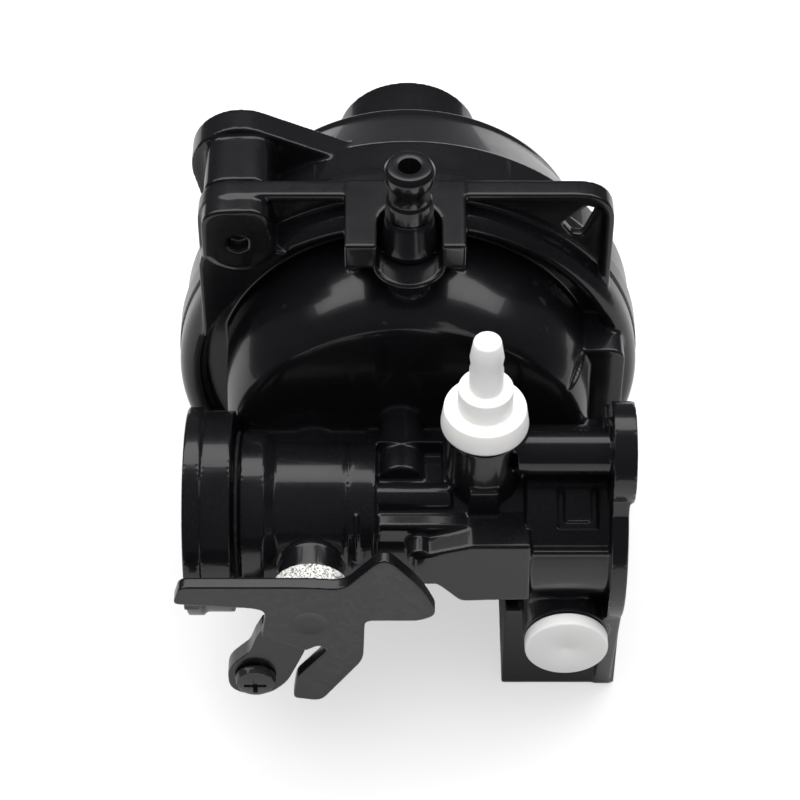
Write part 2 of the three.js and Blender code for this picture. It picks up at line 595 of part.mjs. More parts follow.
// The flat lever: a long arm to the left, a cam lobe to the right, a prong and a screw tab.
function throttleLever() {
  const plate = slab('y', outline([
    [-32.6, 3, 0.9], [-31.6, 6.7, 1.2], [-13.5, 6.7, 3], [-9, 6.2, 2], [-3.3, 13, 1.9],
    [1.7, 6.7, 3], [4.1, 0.6, 1.8], [1.4, -0.8, 1], [-6.1, -0.8, 1.2], [-6.4, -9.8, 1.6],
    [-12.6, -19.8, 1.4], [-16.6, -19, 0.8], [-16, -14.2, 1], [-11.3, -7.4, 0.8],
    [-12.6, -6.4, 0.8], [-14.4, -7.6], [-20.6, -4.6], [-19.8, 1.2, 1.6], [-21.4, 2, 1.5],
  ]), LEVER.front, LEVER.back, 0.3);
  const nub = box(-31.1, -29, LEVER.front + 0.2, LEVER.back, 1.5, 3);
  const tab = slab('y', outline([
    [-14.4, -7.9], [-20.5, -3.7], [-21.6, -6.2], [-22.5, -9.2, 0.8], [-25.9, -13.2, 2],
    [-25.8, -18.6, 3], [-20.6, -19.8, 3], [-17.4, -16.4, 1.6], [-14.9, -9.6, 0.5],
  ]), LEVER.front + 0.9, LEVER.back + 1.6, 0.3);
  const lug = rod('y', [SHAFT.x + 14.9, SHAFT.z + 1.9], 1.1, LEVER.back - 1, -45.5);
  const hub = rod('y', SHAFT_AXIS, SHAFT.bore + 1.6, LEVER.front + 0.5, LEVER.back);
  const drive = rod('y', SHAFT_AXIS, SHAFT.bore, SHAFT.front - GAP, LEVER.back + 1)
    .intersect(box(SHAFT.x - 4, SHAFT.x + 4, -60, -40, SHAFT.z - 2, SHAFT.z + 2));
  const dimple = rod('y', SHAFT_AXIS, 2.6, LEVER.front - 1, LEVER.front + 0.3);
  const screwHole = rod('y', [IDLE.x, IDLE.z], IDLE.shank + GAP, LEVER.front - 1, -40);
  return cut(join(plate, nub, tab, lug, hub), drive, dimple, screwHole);
}

function idleScrew() {
  const centre = [IDLE.x, IDLE.z];
  const seat = LEVER.front + 0.9 - GAP;
  const screw = join(
    turned('y', centre, [
      [0, seat - 1.5], [IDLE.head - 0.6, seat - 1.5], [IDLE.head, seat - 0.9],
      [IDLE.head, seat], [0, seat],
    ], SIDES.large),
    turned('y', centre, [
      [0, seat - 0.5], [IDLE.shank, seat - 0.5], [IDLE.shank, -45.6], [0.6, -44.9], [0, -44.9],
    ]));
  return cut(screw, crossRecess('y', centre, seat - 4, seat - 0.7, 1.6, 0.32));
}

// ---- the assembly ---------------------------------------------------------------------

const carburettor = new THREE.Group();
carburettor.add(
  part('carburettor_body', BLACK_NYLON, body()),
  part('float_bowl', BLACK_NYLON, bowl()),
  part('bowl_seal', RUBBER, bowlSeal()),
  part('bowl_screw_upper', STEEL, bowlScrew(CORNERS[0])),
  part('bowl_screw_lower', STEEL, bowlScrew(CORNERS[1])),
  part('fuel_inlet_barb', BLACK_NYLON, fuelInlet()),
  part('needle_seat', BRASS, needleSeat()),
  part('inlet_needle', STEEL, inletNeedle()),
  part('float', FOAM, float()),
  part('float_hinge_pin', STEEL, hingePin()),
  part('emulsion_tube', BRASS, emulsionTube()),
  part('main_jet', BRASS, mainJet()),
  part('pilot_jet_insert', WHITE_NYLON, pilotInsert()),
  part('pilot_jet_seal', RUBBER, pilotSeal()),
  part('port_plug', WHITE_NYLON, portPlug()),
  part('spigot_seal', RUBBER, spigotSeal()),
  part('throttle_shaft', BLACK_NYLON, throttleShaft()),
  part('throttle_plate', STEEL, throttlePlate()),
  part('throttle_plate_screw', STEEL, plateScrew()),
  part('throttle_felt', WOOL, feltSeal()),
  part('throttle_lever', BLACK_NYLON, throttleLever()),
  part('idle_speed_screw', BLACK_NYLON, idleScrew()),
);

// The middle of the base becomes the origin.
const bounds = new THREE.Box3().setFromObject(carburettor);
const middle = bounds.getCenter(new THREE.Vector3());
carburettor.position.set(-middle.x, -middle.y, -bounds.min.z);

export default carburettor;
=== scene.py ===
"""Looks of the float carburettor: fine moulded meshes, materials, floor, light and camera.

The moulded pieces are modelled here in millimetres on the carburettor's own axes: X along the
throat, Y from the lever to the bowl, Z up, from the point where the bowl's axis crosses the
seat. Each mesh is moved into the frame, in metres, when it is finished.
"""

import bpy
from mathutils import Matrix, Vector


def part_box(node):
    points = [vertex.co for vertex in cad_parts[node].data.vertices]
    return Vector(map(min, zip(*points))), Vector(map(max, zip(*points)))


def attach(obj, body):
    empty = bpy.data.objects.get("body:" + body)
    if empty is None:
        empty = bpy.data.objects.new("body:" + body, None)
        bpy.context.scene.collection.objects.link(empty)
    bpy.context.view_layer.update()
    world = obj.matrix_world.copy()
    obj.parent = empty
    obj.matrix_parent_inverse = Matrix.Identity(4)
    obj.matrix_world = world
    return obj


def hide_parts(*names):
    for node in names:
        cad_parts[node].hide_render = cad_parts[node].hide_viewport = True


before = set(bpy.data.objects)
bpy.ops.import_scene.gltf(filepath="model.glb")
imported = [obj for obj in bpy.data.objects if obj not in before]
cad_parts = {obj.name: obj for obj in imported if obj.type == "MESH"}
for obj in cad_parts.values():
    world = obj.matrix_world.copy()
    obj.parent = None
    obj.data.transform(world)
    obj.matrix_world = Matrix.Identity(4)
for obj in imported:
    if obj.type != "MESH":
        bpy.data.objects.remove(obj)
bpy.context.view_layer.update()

import math
import random

import bmesh
import bpy
from mathutils import Matrix, Vector

MM = 0.001
DECK_BACK = 0.5  # the seal's back face lies on the deck's back face
SEAL_LOW, SEAL_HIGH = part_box("bowl_seal")
ORIGIN = Vector((
    (SEAL_LOW[0] + SEAL_HIGH[0]) / 2,
    SEAL_HIGH[1] - DECK_BACK * MM,
    (SEAL_LOW[2] + SEAL_HIGH[2]) / 2,
))
PLACE = Matrix.Translation(ORIGIN) @ Matrix.Scale(MM, 4)

# ---- dimensions, in millimetres ----------------------------------------------------------

GAP = 0.3
WALL = 2.0
DECK_LEFT, DECK_RIGHT, DECK_TOP, DECK_BASE, DECK_FRONT = -30, 29.3, 36.3, -34.5, -1.2
DECK_CORNER = 5.5
LIP_WIDTH, LIP_FRONT, LIP_END = 1.3, -2.7, 12  # rim along the deck's top and corners
SEAT_INNER, SEAT_OUTER, SEAT_FRONT = 30.4, 34.3, -4.8
DRUM_FRONT, DRUM_CAVITY = -17.0, 24.0
DRUM_FLAT_LEFT, DRUM_FLAT_RIGHT = -26.6, 26.4
BOSS_R, BOSS_FRONT = 5.1, -5.9
CORNERS = ((-24.15, 29.85), (24.4, -29.4))
LUG_INNER, LUG_OUTER, LUG_FRONT, LUG_LOW, LUG_TOP = 22, 31.8, -9.0, -8.0, 11.0
SHELF_LEFT, SHELF_RIGHT, SHELF_FRONT, SHELF_LOW, SHELF_TOP = -8.9, 8.0, -13.2, 32.2, 36.5
INLET_X, INLET_Y, INLET_TIP = 0.1, -8.5, 47.3
INLET_BOSS, INLET_COLLAR, INLET_BORE = 3.3, 4.2, 1.55
CONE_Y, CONE_R, CONE_TIP_R, CONE_BASE, CONE_TIP = -11.4, 5.2, 0.8, 31.5, 24.5  # under the inlet

BOWL_RIM, BOWL_FACE, BOWL_TIER = 34.5, 0.6, 11.2
BOWL_TAPER, BOWL_FOOT, BOWL_FLOOR, BOWL_EDGE = 24.6, 26.8, 26.8, 1.3
SUMP_R, SUMP_END = 11.3, 50.0
EAR_R, EAR_SMALL, EAR_FRONT, EAR_BACK = 7.4, 5.0, 10.0, 14.5

THROAT_Y, THROAT_Z, TUBE_R, BORE_R, VENTURI_R = -29.4, -1.0, 10.0, 8.0, 5.2
THROAT = (THROAT_Y, THROAT_Z)
SPIGOT_LEFT, SPIGOT_RING, SPIGOT_STEP = -31.6, 15.0, 14.5
SPIGOT_GROOVE, SPIGOT_BEAD, SPIGOT_SEAL = 10.6, 11.5, -24.35
CHEST_START, CHEST_END, CHEST_R = -4.6, 16.4, TUBE_R + 0.5  # the throat's wider middle
FLANGE_LEFT, FLANGE_RIGHT, FLANGE_R = 28.2, 30.6, 15.4
STUD, STUD_TUBE, STUD_LOBE, STUD_BORE = (-33.0, 16.1), 3.1, 7.1, 2.1
LOWER_STUD = (-26.0, -23.0)
BLOCK_LEFT, BLOCK_RIGHT = 14.2, 31.2
BLOCK_FRONT, BLOCK_BACK, BLOCK_TOP = -36.0, -12.0, -15.6
PORT, PORT_R, PORT_FRONT, PORT_CAP = (22.75, -13.4), 6.2, -42.6, 6.0
PILOT, PILOT_R, PILOT_TOP = (10.5, -31.0), 5.4, 19.0

SHAFT, SHAFT_R, SHAFT_BORE, SHAFT_FRONT, SHAFT_BACK = (-13.74, -1.4), 2.4, 2.7, -48.5, -20.8
LEVER_FRONT, LEVER_BACK = -49.5, -47.6
FELT_R, FELT_FRONT, FELT_BACK = 5.5, -47.3, -43.0
STOP, STOP_R, STOP_FRONT = (1.6, 3.7), 1.85, -42.2
IDLE, IDLE_HEAD, IDLE_SHANK = (-21.9, -14.9), 2.95, 1.2
COLUMN, COLUMN_POST, COLUMN_END = (2.0, -1.0), 4.6, 17.0
NEEDLE, NEEDLE_BOSS, NEEDLE_BORE = (0.1, 19.5), 4.4, 2.9
HINGE, HINGE_HOLE = (3.1, 27.5), 1.15
BOWL_AXIS = (0.0, 0.0)
SCREW_R, SCREW_HOLE, HEX_R = 1.8, 2.15, 1.6  # bowl screws

# ---- solids ---------------------------------------------------------------------------

AXES = {"x": (1, 2, 0), "y": (0, 2, 1), "z": (0, 1, 2)}  # where (u, v, along) go


def point(axis, u, v, along):
    """A point from its two coordinates across an axis and its place along it."""
    place = [0.0, 0.0, 0.0]
    for index, value in zip(AXES[axis], (u, v, along)):
        place[index] = value
    return place


def mesh_object(name, build):
    """A new object whose mesh the function build fills, with its faces pointing out."""
    mesh = bpy.data.meshes.new(name)
    work = bmesh.new()
    build(work)
    bmesh.ops.recalc_face_normals(work, faces=work.faces)
    work.to_mesh(mesh)
    work.free()
    piece = bpy.data.objects.new(name, mesh)
    bpy.context.collection.objects.link(piece)
    return piece


def turned(axis, centre, profile, segments=96, name="solid"):
    """A turned solid. The profile's points are (radius, place along the axis)."""
    closed = all(radius > 0 for radius, _ in profile)

    def build(work):
        rings = []
        for radius, along in profile:
            if radius == 0:
                rings.append([work.verts.new(point(axis, *centre, along))])
                continue
            u, v = centre
            turn = [2 * math.pi * i / segments for i in range(segments)]
            rings.append([
                work.verts.new(point(axis, u + radius * math.sin(a), v + radius * math.cos(a), along))
                for a in turn
            ])
        pairs = list(zip(rings, rings[1:])) + ([(rings[-1], rings[0])] if closed else [])
        for low, high in pairs:
            if len(low) == 1 and len(high) == 1:
                continue
            for i in range(segments):
                j = (i + 1) % segments
                if len(low) == 1:
                    work.faces.new((low[0], high[j], high[i]))
                elif len(high) == 1:
                    work.faces.new((low[i], low[j], high[0]))
                else:
                    work.faces.new((low[i], low[j], high[j], high[i]))

    return mesh_object(name, build)


def rod(axis, centre, radius, start, end, segments=64):
    return turned(axis, centre, [(0, start), (radius, start), (radius, end), (0, end)], segments)


def ring(axis, centre, inner, outer, start, end, segments=96):
    profile = [(inner, start), (outer, start), (outer, end), (inner, end)]
    return turned(axis, centre, profile, segments)


def prism(axis, points, start, end):
    """A flat outline made thick along an axis."""

    def build(work):
        low = [work.verts.new(point(axis, u, v, start)) for u, v in points]
        high = [work.verts.new(point(axis, u, v, end)) for u, v in points]
        work.faces.new(low)
        work.faces.new(high)
        for i in range(len(points)):
            j = (i + 1) % len(points)
            work.faces.new((low[i], low[j], high[j], high[i]))

    return mesh_object("solid", build)


def box(x0, x1, y0, y1, z0, z1):
    return prism("z", [(x0, y0), (x1, y0), (x1, y1), (x0, y1)], z0, z1)


def arc(centre, radius, start, end, steps=24):
    return [
        (centre[0] + radius * math.cos(start + (end - start) * i / steps),
         centre[1] + radius * math.sin(start + (end - start) * i / steps))
        for i in range(steps + 1)
    ]


def rounded(corners, steps=8):
    """A closed outline through corners (x, y, rounding radius)."""
    points = []
    for i, corner in enumerate(corners):
        here = Vector(corner[:2])
        radius = corner[2] if len(corner) > 2 else 0
        if not radius:
            points.append(tuple(here))
            continue
        ends = []
        for other in (corners[i - 1], corners[(i + 1) % len(corners)]):
            step = Vector(other[:2]) - here
            ends.append(here + step.normalized() * min(radius, step.length * 0.49))
        for k in range(steps + 1):
            t = k / steps
            spot = ends[0] * (1 - t) ** 2 + here * 2 * t * (1 - t) + ends[1] * t ** 2
            points.append(tuple(spot))
    return points


def through(points, steps=4):
    """A smooth curve through points, with that many steps between each two."""
    ends = [points[0], *points, points[-1]]
    curve = []
    for before, start, end, after in zip(ends, ends[1:], ends[2:], ends[3:]):
        for i in range(steps):
            t = i / steps
            curve.append(tuple(
                0.5 * (2 * b + (c - a) * t + (2 * a - 5 * b + 4 * c - d) * t ** 2
                       + (3 * b - a - 3 * c + d) * t ** 3)
                for a, b, c, d in zip(before, start, end, after)))
    return [*curve, points[-1]]


def belt(first, second, steps=32):
    """The outline of a belt round two circles, (x, y, radius) each."""
    (x0, y0, r0), (x1, y1, r1) = first, second
    along = math.atan2(y1 - y0, x1 - x0)
    lean = math.acos((r0 - r1) / math.hypot(x1 - x0, y1 - y0))
    return (arc((x0, y0), r0, along + lean, along - lean + 2 * math.pi, steps)
            + arc((x1, y1), r1, along - lean, along + lean, steps))


def combine(base, others, operation):
    for other in others:
        step = base.modifiers.new("cut", "BOOLEAN")
        step.operation = operation
        step.solver = "MANIFOLD"
        step.object = other


def settle(piece, name, used=()):
    """Applies a piece's modifiers, removes the solids that it was made with and names it."""
    depsgraph = bpy.context.evaluated_depsgraph_get()
    mesh = bpy.data.meshes.new_from_object(piece.evaluated_get(depsgraph))
    mesh.name = name
    piece.modifiers.clear()
    old = piece.data
    piece.data = mesh
    bpy.data.meshes.remove(old)
    for other in used:
        data = other.data
        bpy.data.objects.remove(other)
        bpy.data.meshes.remove(data)
    piece.name = name
    return piece


def carve(name, solids, cutters=()):
    """One solid from those joined, less the cutters."""
    base, *rest = solids
    combine(base, rest, "UNION")
    combine(base, cutters, "DIFFERENCE")
    return settle(base, name, [*rest, *cutters])


def melt(piece, voxel, soften, keep=1.0):
    """Rounds every edge and inner corner a little, as a mould does."""
    grid = piece.modifiers.new("grid", "REMESH")
    grid.mode = "VOXEL"
    grid.voxel_size = voxel
    ease = piece.modifiers.new("ease", "SMOOTH")
    ease.factor = 0.5
    ease.iterations = soften
    if keep < 1:
        thin = piece.modifiers.new("thin", "DECIMATE")
        thin.ratio = keep
    return settle(piece, piece.name)


def bevelled(piece, width, segments=3, angle=30):
    edge = piece.modifiers.new("edge", "BEVEL")
    edge.width = width
    edge.segments = segments
    edge.limit_method = "ANGLE"
    edge.angle_limit = math.radians(angle)
    edge.use_clamp_overlap = True
    return settle(piece, piece.name)


# ---- body moulding --------------------------------------------------------------------

def deck():
    plate = prism("y", rounded([
        (DECK_LEFT, DECK_BASE, 1), (DECK_RIGHT, DECK_BASE, 1),
        (DECK_RIGHT, DECK_TOP, DECK_CORNER), (DECK_LEFT, DECK_TOP, DECK_CORNER),
    ]), DECK_FRONT, DECK_BACK)
    disc = rod("y", BOWL_AXIS, SEAT_OUTER, DECK_FRONT, DECK_BACK, 160)
    middle, reach = (SEAT_INNER + SEAT_OUTER) / 2, (SEAT_OUTER - SEAT_INNER) / 2
    height = 3
    crown = [
        (middle + reach * math.cos(a), SEAT_FRONT + height * (1 - math.sin(a)))
        for a in (math.pi * i / 16 for i in range(17))
    ]
    ridge = turned("y", BOWL_AXIS, [(SEAT_OUTER, -1), *crown, (SEAT_INNER, -1)], 160)
    lip = carve("lip", [lip_frame(0, LIP_FRONT, -0.6)], [lip_frame(LIP_WIDTH, LIP_FRONT - 1, 0)])
    return [plate, disc, ridge, lip]


def lip_frame(inset, start, end):
    """The deck's outline above the lip's ends, drawn in by inset."""
    left, right, top = DECK_LEFT + inset, DECK_RIGHT - inset, DECK_TOP - inset
    return prism("y", rounded([
        (left, LIP_END - inset), (right, LIP_END - inset),
        (right, top, DECK_CORNER - inset), (left, top, DECK_CORNER - inset),
    ]), start, end)


def square_corner(start, end):
    """The square corner that stands out round the upper bowl screw."""
    return prism("y", rounded([(-29.3, 27), (-29.2, 35.9, 3.2), (-19.9, DECK_TOP, 3), (-19, 28)]),
                 start, end)


def corner_boss(centre, side):
    web = prism("y", [(x * side, z * side) for x, z in rounded([
        (-30, 10), (-30, 27, 3), (-26, 30), (-19.5, 28), (-17, 27.6, 0.6), (-22, 22), (-27.5, 14.5),
    ])], BOSS_FRONT + 0.4, -1)
    return [rod("y", centre, BOSS_R, BOSS_FRONT, DECK_BACK), web]


def drum():
    shell = turned("y", BOWL_AXIS, [
        (0, DRUM_FRONT), *through([
            (22.8, DRUM_FRONT), (24.2, -16.8), (25.4, -15.8), (26.4, -14), (27.2, -11.5),
            (27.75, -8.5), (28, -5.5), (28, -1),
        ]), (0, -1),
    ], 160)
    far = 40
    flats = [
        box(-far, DRUM_FLAT_LEFT, -far, far, -far, far),
        box(DRUM_FLAT_RIGHT, far, -far, far, -far, far),
        prism("z", [(22.3, -18), (26.5, -5.6), (far, -5.6), (far, -18)], 10, far),
    ]
    return carve("drum", [shell], flats)


def side_lug():
    return prism("y", rounded([
        (LUG_INNER, LUG_LOW), (LUG_OUTER, LUG_LOW, 1), (LUG_OUTER, LUG_TOP, 2.5),
        (LUG_INNER, LUG_TOP),
    ]), LUG_FRONT, -1)


def inlet_shelf():
    notch = INLET_COLLAR + GAP
    fork = [
        (SHELF_RIGHT, DECK_BACK), (SHELF_LEFT, DECK_BACK), (SHELF_LEFT, SHELF_FRONT),
        (INLET_X - notch, SHELF_FRONT), *arc((INLET_X, INLET_Y), notch, math.pi, 0),
        (INLET_X + notch, SHELF_FRONT), (SHELF_RIGHT, SHELF_FRONT),
    ]
    cone = turned("z", (INLET_X, CONE_Y), [
        (0, CONE_TIP), (CONE_TIP_R, CONE_TIP), (CONE_R, CONE_BASE), (CONE_R, SHELF_LOW),
        (0, SHELF_LOW),
    ])
    legs = [
        box(left, left + WALL, -8, -1, 27, SHELF_LOW + 1)
        for left in (SHELF_LEFT, SHELF_RIGHT - WALL)
    ]
    boss = rod("z", (INLET_X, INLET_Y), INLET_BOSS, 20, SHELF_LOW)
    return [prism("z", fork, SHELF_LOW, SHELF_TOP), boss, cone, *legs]


def throat():
    ring_end, bead_end, tube_start = -29.2, -20.5, -18.8
    groove_start, groove_end = SPIGOT_SEAL - 0.6, SPIGOT_SEAL + 0.6
    mark_r = TUBE_R - 0.3  # a shallow groove round the tube
    collar_r, collar_end = 12.5, 29
    outside = turned("x", THROAT, [
        (0, SPIGOT_LEFT), (SPIGOT_RING, SPIGOT_LEFT), (SPIGOT_RING, ring_end),
        (SPIGOT_STEP, ring_end), (SPIGOT_STEP, groove_start), (SPIGOT_GROOVE, groove_start),
        (SPIGOT_GROOVE, groove_end), (SPIGOT_BEAD, groove_end), (SPIGOT_BEAD, bead_end),
        (TUBE_R, tube_start), (TUBE_R, -8.9), (mark_r, -8.8), (mark_r, -8.3), (TUBE_R, -8.2),
        (TUBE_R, CHEST_START), (CHEST_R, CHEST_START), (CHEST_R, CHEST_END),
        (collar_r, CHEST_END), (collar_r, collar_end), (0, collar_end),
    ], 128)
    pocket = box(CHEST_START, 4.9, -33.2, -24, 5.3, 12)
    return carve("throat", [outside], [pocket])


def flange():
    foot = prism("x", rounded([
        (-42.5, -8), (-36, DECK_BASE, 1), (-13, DECK_BASE, 1), (-15, 2), (-44.4, 2),
    ]), FLANGE_LEFT, FLANGE_RIGHT)
    neck = prism("x", belt((*STUD, 6), (*THROAT, 12)), FLANGE_LEFT, FLANGE_RIGHT)
    return [
        rod("x", THROAT, FLANGE_R, FLANGE_LEFT, FLANGE_RIGHT, 128), foot, neck,
        rod("x", STUD, STUD_LOBE, FLANGE_LEFT - 0.2, BLOCK_RIGHT, 96),
        rod("x", STUD, STUD_TUBE, 15, FLANGE_LEFT + 1),
    ]


def port_block():
    block = prism("x", rounded([
        (BLOCK_FRONT, DECK_BASE, 1.2), (BLOCK_BACK, DECK_BASE, 1),
        (BLOCK_BACK, BLOCK_TOP, 1), (BLOCK_FRONT, BLOCK_TOP, 1.2),
    ]), BLOCK_LEFT, BLOCK_RIGHT)
    inner = FLANGE_LEFT + 0.5
    return [
        block, rod("y", PORT, PORT_R, PORT_FRONT, -30, 96),
        box(CHEST_END, inner, -35.2, -28, -20, 0),
        box(CHEST_END, inner, -42, -30, 3.9, 4.9),
        box(CHEST_END, inner, -17.5, -14, -24, 2),
    ]


def shell_slice(inner, outer, left, right, *windows):
    """What the windows keep of a thin ring round the throat."""
    sleeve = ring("x", THROAT, inner, outer, left, right, 128)
    base, *rest = windows
    combine(base, rest, "UNION")
    combine(base, [sleeve], "INTERSECT")
    return settle(base, "slice", [*rest, sleeve])


def throat_fittings():
    link_face = prism("y", rounded([
        (8.9, 7), (17, 7), (17.2, -5), (7.4, -5.3, 0.8), (4.6, -2), (0.6, 1.2), (1, 4.6),
    ]), -42.6, -36)
    pilot_boss = turned("z", PILOT, [
        (0, 0), (4.2, 0), (4.4, 4), (5, 8), (PILOT_R, 12), (PILOT_R, PILOT_TOP), (0, PILOT_TOP),
    ])
    left, right, low, rib = 20.9, 26.3, 7.2, 0.7
    u_rib = shell_slice(
        12, 13.1, left, right, box(left, left + rib, -45, -30, low, 10.4),
        box(right - rib, right, -45, -30, low, 10.4), box(left, right, -45, -30, low, 7.8))
    collar_rib = shell_slice(8.5, CHEST_R, -7.6, -7.1, box(-9, -6, -42, -35, 0, 6.6))
    return [
        link_face,
        rod("x", (-38, 6), 1, -4.3, 16.2),
        box(-4.3, 16.2, -38.8, -34, 1, 7),
        rod("x", (-34, 7.4), 2.1, -4.6, 6),
        rod("y", (-1.06, 4.5), 3.3, -28.8, -16),
        pilot_boss,
        box(PILOT[0] - 2, PILOT[0] + 2, -37, PILOT[1], 2, 12),
        rod("y", STOP, STOP_R, STOP_FRONT, -34),
        rod("y", SHAFT, 4.65, FELT_BACK + GAP, -30),
        rod("y", SHAFT, 4.6, -24, -16),
        box(-24, -3, -24, -16, 0.9, 2.4),
        box(-6, 9, -22, -16, -9, 3),
        u_rib,
        collar_rib,
    ]


def chamber_fittings():
    post = rod("y", COLUMN, COLUMN_POST, -16, COLUMN_END)
    needle_boss = rod("y", NEEDLE, NEEDLE_BOSS, -16, -0.2)
    hinge_posts = [
        prism("x", rounded([
            (DECK_BACK - 1, 24.6), (HINGE[0] + 2.2, 25.2, 0.8),
            (HINGE[0] + 2.2, 29.4, 1), (DECK_BACK - 1, 29.4),
        ]), left, left + 2.2)
        for left in (-7.6, 5.4)
    ]
    return [post, needle_boss, *hinge_posts]


def body_cutters():
    bore = turned("x", THROAT, [
        (0, -34), (9.2, -34), (8.6, -32), (BORE_R, -30.5), (BORE_R, -9.5), (VENTURI_R + 0.2, -4.6),
        (VENTURI_R, -0.5), (VENTURI_R, 3.5), (8.6, 14), (9.6, 24), (10.4, 33), (0, 33),
    ], 128)
    screws = [rod("y", centre, SCREW_HOLE, BOSS_FRONT + 2.2, 17) for centre in CORNERS]
    return [
        bore,
        ring("y", BOWL_AXIS, 31.1, 32.5, -1.7, 3, 160),
        rod("y", SHAFT, SHAFT_BORE, -45, SHAFT_BACK + GAP),
        rod("x", STUD, STUD_BORE, 14, 34),
        rod("x", LOWER_STUD, STUD_BORE, 12, 34),
        *screws,
        rod("y", CORNERS[0], HEX_R, BOSS_FRONT - 1, BOSS_FRONT + 1.6, 6),
        prism("y", [(22, 29.3), (25.4, 32.6), (26.9, 32.1), (25, 26.8), (23.5, 27.1)], -6, 3),
        rod("z", (INLET_X, INLET_Y), INLET_COLLAR + GAP, SHELF_LOW, SHELF_TOP + 1, 96),
        rod("z", (INLET_X, INLET_Y), 2.1, 24.5, SHELF_LOW + 2),
        rod("z", (INLET_X, INLET_Y), 1.1, NEEDLE[1], 26),
        rod("y", NEEDLE, NEEDLE_BORE, -11, 1),
        rod("y", COLUMN, 2.2, -26, COLUMN_END + 1),
        rod("y", COLUMN, 3, 12.8, COLUMN_END + 1),
        rod("z", PILOT, 2.9, 10, PILOT_TOP + 1),
        rod("z", PILOT, 0.8, 3, 11),
        rod("y", PORT, 4.4, PORT_FRONT - 1, PORT_FRONT + 8),
        rod("x", HINGE, HINGE_HOLE, -10, 10),
    ]


def body():
    outside = carve("outside", [
        *deck(), *corner_boss(CORNERS[0], 1), *corner_boss(CORNERS[1], -1),
        square_corner(BOSS_FRONT, DECK_BACK), drum(), side_lug(), *inlet_shelf(), throat(),
        *flange(), *port_block(), *throat_fittings(),
    ], [rod("y", BOWL_AXIS, DRUM_CAVITY, DRUM_FRONT + WALL, 2, 128)])
    piece = carve("carburettor_body_fine", [outside, *chamber_fittings()], body_cutters())
    return melt(piece, voxel=0.26, soften=3, keep=0.35)


# ---- bowl -----------------------------------------------------------------------------

def bowl():
    inside, floor, foot = BOWL_RIM - WALL - 1.2, BOWL_FLOOR, BOWL_FOOT
    shell = turned("y", BOWL_AXIS, [
        (0, SUMP_END), (SUMP_R, SUMP_END), (SUMP_R, floor),
        *((foot - BOWL_EDGE + BOWL_EDGE * math.sin(a), floor - BOWL_EDGE + BOWL_EDGE * math.cos(a))
          for a in (math.pi / 2 * i / 6 for i in range(7))),
        (foot + 0.1, BOWL_TAPER), (BOWL_RIM - 1.3, BOWL_TIER + 0.6), (BOWL_RIM - 0.7, BOWL_TIER),
        (BOWL_RIM - 0.5, 5), (BOWL_RIM, 4.6), (BOWL_RIM, BOWL_FACE), (inside, BOWL_FACE),
        (inside, BOWL_TIER - 0.6), (foot - WALL, BOWL_TAPER - 1.2),
        (foot - WALL - 1.4, floor - WALL), (SUMP_R - 1.2, floor - WALL),
        (SUMP_R - WALL, floor - WALL + 1), (SUMP_R - WALL, SUMP_END - WALL), (0, SUMP_END - WALL),
    ], 192)
    cavity = turned("y", BOWL_AXIS, [
        (0, BOWL_FACE - 1), (inside, BOWL_FACE - 1), (inside, BOWL_TIER - 0.6),
        (foot - WALL, BOWL_TAPER - 1.2), (foot - WALL - 1.4, floor - WALL), (0, floor - WALL),
    ], 192)
    ears = [
        prism("y", belt((*CORNERS[0], EAR_R), (0, 0, 24.5)), EAR_FRONT, EAR_BACK),
        prism("y", belt((*CORNERS[1], EAR_SMALL), (0, 0, 24.5)), EAR_FRONT, EAR_BACK),
    ]
    spacers = [rod("y", centre, EAR_SMALL, BOWL_FACE, EAR_FRONT + 1) for centre in CORNERS]
    spacers.append(square_corner(BOWL_FACE, EAR_FRONT + 1))
    holes = [rod("y", centre, SCREW_HOLE, BOWL_FACE - 1, EAR_BACK + 1) for centre in CORNERS]
    piece = carve("float_bowl_fine", [shell, *ears, *spacers], [cavity, *holes])
    return melt(piece, voxel=0.28, soften=3, keep=0.35)


# ---- small pieces ---------------------------------------------------------------------

def fuel_inlet():
    piece = turned("z", (INLET_X, INLET_Y), [
        (INLET_BORE, 25), (1.8, 25), (1.8, SHELF_LOW + GAP), (INLET_COLLAR, SHELF_LOW + GAP),
        (INLET_COLLAR, 33.6), (3.75, 34.4), (3.5, 37.4), (3.05, 38.2), (3.4, 38.9), (3.2, 41.2),
        (2.9, 41.6), (2.9, 43.6), (3.55, 44.8), (3.55, 46.5), (3.05, INLET_TIP),
        (INLET_BORE, INLET_TIP),
    ], 96, "fuel_inlet_fine")
    return bevelled(piece, 0.16)


def pilot_insert():
    base = PILOT_TOP + GAP + 0.6
    piece = turned("z", PILOT, [
        (0, 11.2), (1.1, 11.2), (2.5, 12.6), (2.5, 15.6), (1.8, 15.6), (1.8, 17), (2.5, 17),
        (2.5, base), (6.1, base), (6.1, base + 0.5), (5.7, 23.4), (3.85, 23.6), (3.8, 27.3),
        (2.35, 27.5), (2.35, 31), (2.15, 31.8), (2.35, 33.4), (1.9, 36.4), (0.9, 37.1), (0, 37.1),
    ], 96, "pilot_insert_fine")
    return bevelled(piece, 0.22)


def port_plug():
    back = PORT_FRONT - GAP
    front = back - 2
    piece = turned("y", PORT, [
        (0, front + 0.25), (0.5, front + 0.1), (0.8, front), (PORT_CAP, front), (PORT_CAP, back),
        (4.1, back), (4.1, back + 4.6), (3.6, back + 5.2), (2.9, back + 5.2),
        (2.9, back + 0.2), (0, back + 0.2),
    ], 128, "port_plug_fine")
    return bevelled(piece, 0.3)


def spigot_seal():
    middle, cord = 11.2, 0.3
    section = [(middle + cord * math.cos(a), SPIGOT_SEAL + cord * math.sin(a))
               for a in (2 * math.pi * i / 20 for i in range(20))]
    return turned("x", THROAT, section, 128, "spigot_seal_fine")


